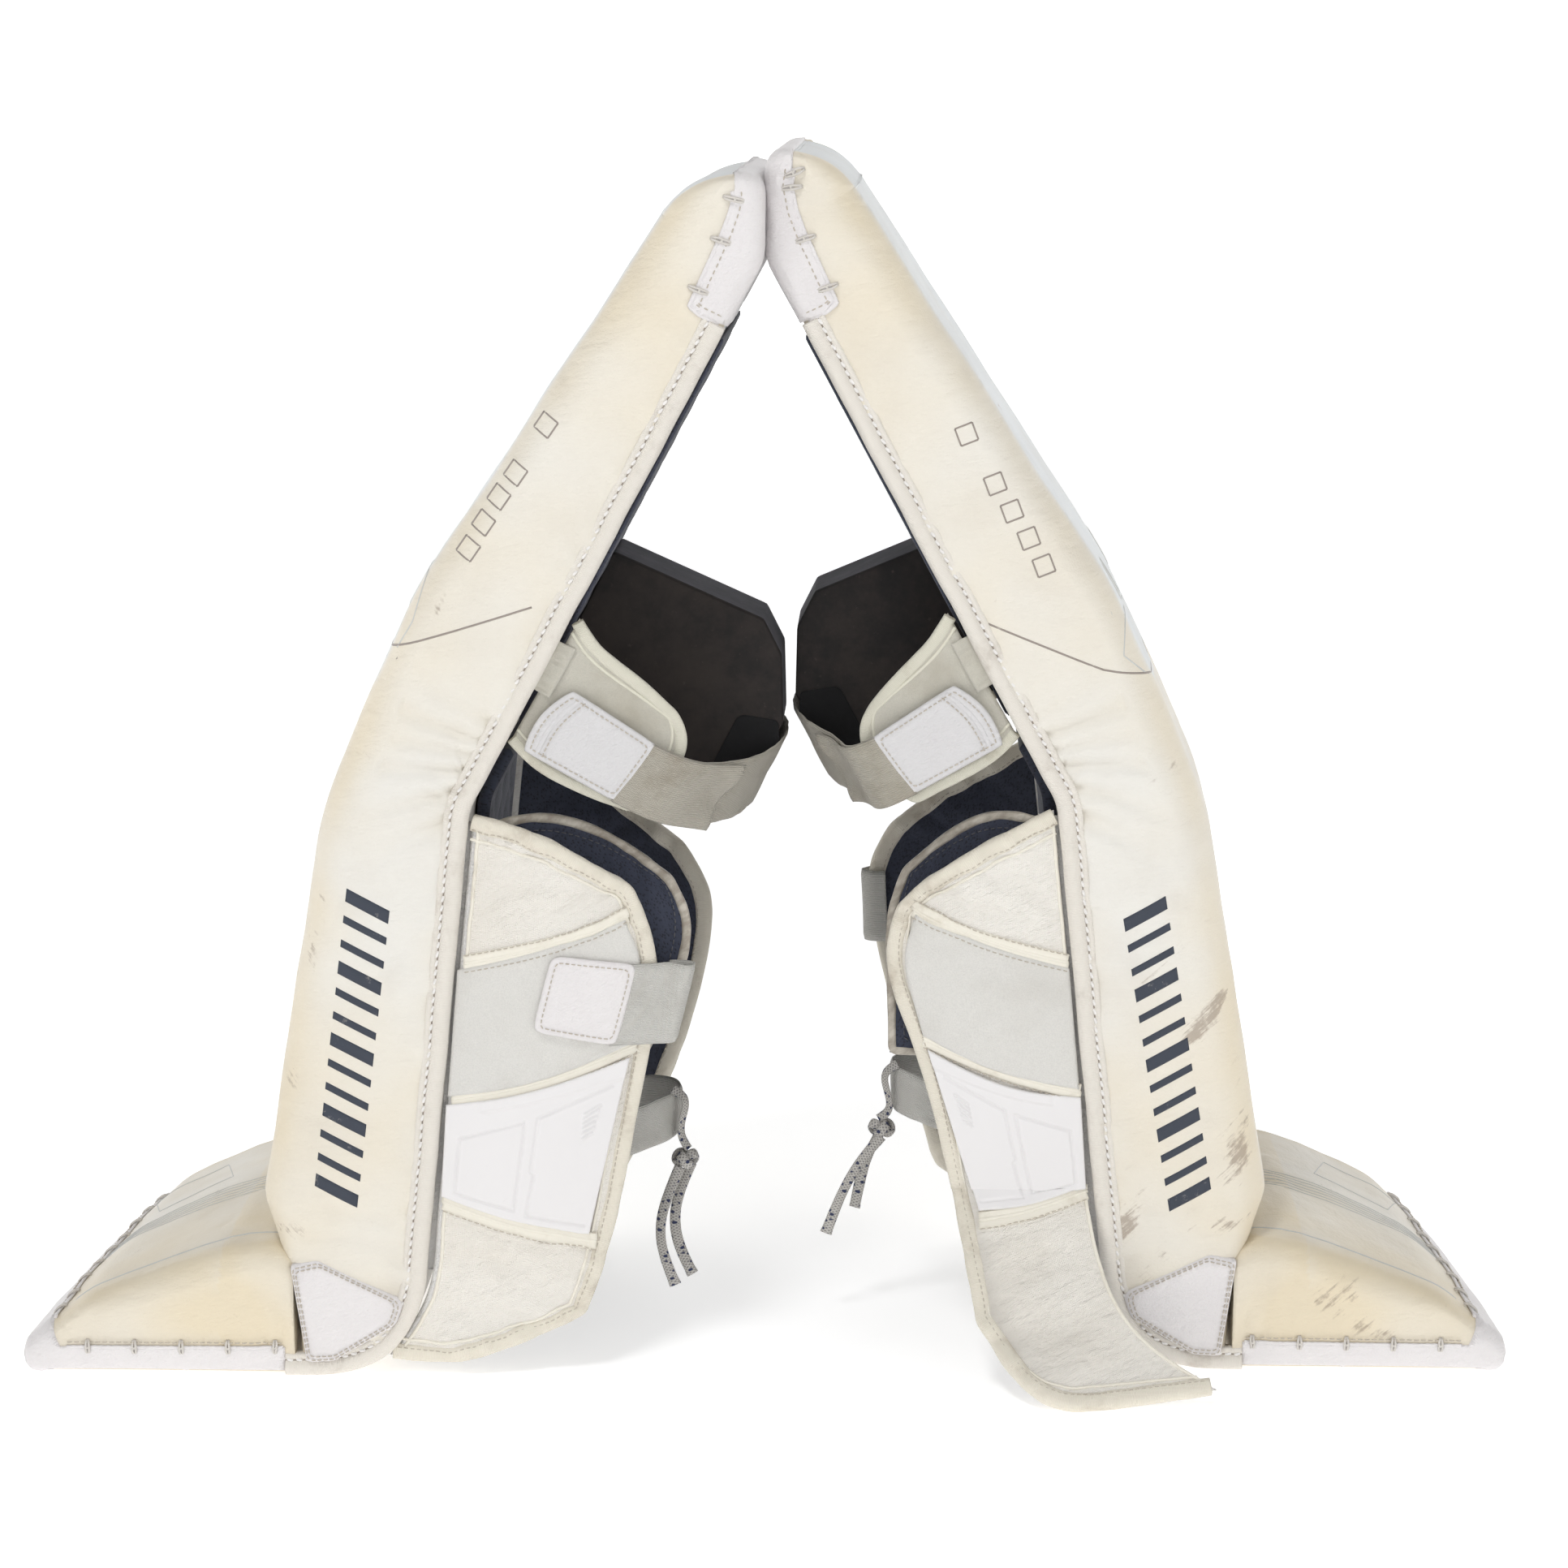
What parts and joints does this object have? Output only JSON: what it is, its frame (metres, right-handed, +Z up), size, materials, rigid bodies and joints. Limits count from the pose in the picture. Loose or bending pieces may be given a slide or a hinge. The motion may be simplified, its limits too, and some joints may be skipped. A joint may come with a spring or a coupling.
{
  "type": "hockey goalie leg pads",
  "caption": "Pair of foam-filled goalie leg pads with knee and boot breaks, calf wraps, knee blocks, straps and laces, stood leaning together.",
  "frame": {"origin": "centre of the pair's footprint, on the ice", "axes": "+Z up; X runs across the pair, the left pad's toe towards -X and the right pad's towards +X; Y runs across a pad's width, away from the side with the knee tabs"},
  "size_m": [0.9022, 0.3618, 0.7352],
  "materials": {
    "cover_skin": "satin",
    "foam": "matte",
    "edge_tape": "matte",
    "white_leather": "satin",
    "lace_cord": "matte",
    "dark_liner": "matte",
    "block_foam": "matte",
    "felt_wing": "matte",
    "elastic_web": "matte",
    "flap_nylon": "satin",
    "loop_pile": "matte",
    "moulded_plastic": "satin",
    "print_ink": "matte",
    "stitch_thread": "matte"
  },
  "bodies": {
    "left_shin": {"left_shin_cover": "cover_skin", "left_shin_core": "foam", "left_shin_piping": "edge_tape", "left_shin_liner": "dark_liner", "left_ankle_patches": "white_leather", "left_ankle_strap": "elastic_web", "left_lace_knot": "lace_cord", "left_lace_tail_a": "lace_cord", "left_lace_tail_b": "lace_cord"},
    "left_thigh": {"left_thigh_cover": "cover_skin", "left_thigh_core": "foam", "left_thigh_piping": "edge_tape", "left_thigh_liner": "dark_liner", "left_top_cap": "white_leather", "left_cap_lacing": "lace_cord", "left_knee_block": "block_foam", "left_knee_wing": "felt_wing", "left_knee_strap": "elastic_web"},
    "left_boot": {"left_boot_cover": "cover_skin", "left_boot_core": "foam", "left_toe_binding": "white_leather", "left_toe_lacing": "lace_cord"},
    "left_outer_wrap": {"left_outer_calf_flap": "flap_nylon", "left_calf_loop_panel": "loop_pile", "left_calf_plate": "moulded_plastic", "left_inner_calf_flap": "dark_liner", "left_calf_elastic": "elastic_web"},
    "left_far_wrap": {"left_far_calf_flap": "flap_nylon"},
    "left_knee_pull": {"left_knee_tab": "white_leather"},
    "left_calf_pull": {"left_calf_tab": "white_leather"},
    "right_shin": {"right_shin_cover": "cover_skin", "right_shin_core": "foam", "right_shin_piping": "edge_tape", "right_shin_liner": "dark_liner", "right_ankle_patches": "white_leather", "right_ankle_strap": "elastic_web", "right_lace_knot": "lace_cord", "right_lace_tail_a": "lace_cord", "right_lace_tail_b": "lace_cord"},
    "right_thigh": {"right_thigh_cover": "cover_skin", "right_thigh_core": "foam", "right_thigh_piping": "edge_tape", "right_thigh_liner": "dark_liner", "right_top_cap": "white_leather", "right_cap_lacing": "lace_cord", "right_knee_block": "block_foam", "right_knee_wing": "felt_wing", "right_knee_strap": "elastic_web"},
    "right_boot": {"right_boot_cover": "cover_skin", "right_boot_core": "foam", "right_toe_binding": "white_leather", "right_toe_lacing": "lace_cord"},
    "right_outer_wrap": {"right_outer_calf_flap": "flap_nylon", "right_calf_loop_panel": "loop_pile", "right_calf_plate": "moulded_plastic", "right_inner_calf_flap": "dark_liner"},
    "right_far_wrap": {"right_far_calf_flap": "flap_nylon", "right_calf_elastic": "elastic_web"},
    "right_knee_pull": {"right_knee_tab": "white_leather"},
    "right_calf_pull": {"right_calf_tab": "white_leather"}
  },
  "joints": [
    {"name": "left_knee_break", "type": "hinge", "parent": "left_shin", "child": "left_thigh", "pos_m": [-0.208, 0.009, 0.382], "axis": [0, -1, 0], "range_deg": [0, 12], "stiffness_Nm_per_rad": 150},
    {"name": "left_boot_break", "type": "hinge", "parent": "left_shin", "child": "left_boot", "pos_m": [-0.287, 0.009, 0.039], "axis": [0, 1, 0], "range_deg": [0, 8], "stiffness_Nm_per_rad": 80},
    {"name": "left_outer_wrap_hinge", "type": "hinge", "parent": "left_shin", "child": "left_outer_wrap", "pos_m": [-0.19126, -0.126, 0.1815], "axis": [-0.1084, 0, -0.9941], "range_deg": [0, 60], "stiffness_Nm_per_rad": 0.4},
    {"name": "left_far_wrap_hinge", "type": "hinge", "parent": "left_shin", "child": "left_far_wrap", "pos_m": [-0.19126, 0.144, 0.1815], "axis": [0.1084, 0, 0.9941], "range_deg": [0, 60], "stiffness_Nm_per_rad": 0.4},
    {"name": "left_knee_tab_peel", "type": "hinge", "parent": "left_thigh", "child": "left_knee_pull", "pos_m": [-0.0755, -0.1192, 0.371], "axis": [0.5924, 0, 0.8057], "range_deg": [0, 80]},
    {"name": "left_calf_tab_peel", "type": "hinge", "parent": "left_outer_wrap", "child": "left_calf_pull", "pos_m": [-0.0835, -0.1262, 0.232], "axis": [0.2516, 0, 0.9678], "range_deg": [0, 80]},
    {"name": "right_knee_break", "type": "hinge", "parent": "right_shin", "child": "right_thigh", "pos_m": [0.208, 0.037, 0.382], "axis": [0, 1, 0], "range_deg": [0, 12], "stiffness_Nm_per_rad": 150},
    {"name": "right_boot_break", "type": "hinge", "parent": "right_shin", "child": "right_boot", "pos_m": [0.287, 0.037, 0.039], "axis": [0, -1, 0], "range_deg": [0, 8], "stiffness_Nm_per_rad": 80},
    {"name": "right_outer_wrap_hinge", "type": "hinge", "parent": "right_shin", "child": "right_outer_wrap", "pos_m": [0.19126, -0.098, 0.1815], "axis": [-0.1084, 0, 0.9941], "range_deg": [0, 30], "stiffness_Nm_per_rad": 0.4},
    {"name": "right_far_wrap_hinge", "type": "hinge", "parent": "right_shin", "child": "right_far_wrap", "pos_m": [0.19126, 0.172, 0.1815], "axis": [0.1084, 0, -0.9941], "range_deg": [0, 60], "stiffness_Nm_per_rad": 0.4},
    {"name": "right_knee_tab_peel", "type": "hinge", "parent": "right_thigh", "child": "right_knee_pull", "pos_m": [0.0755, -0.0912, 0.371], "axis": [0.5924, 0, -0.8057], "range_deg": [0, 80]},
    {"name": "right_calf_tab_peel", "type": "hinge", "parent": "right_far_wrap", "child": "right_calf_pull", "pos_m": [0.0835, 0.1722, 0.232], "axis": [-0.2516, 0, 0.9678], "range_deg": [0, 80]},
    {"name": "pair_separation", "type": "slide", "parent": "left_shin", "child": "right_shin", "axis": [1, 0, 0], "range_m": [0, 0.35]}
  ]
}
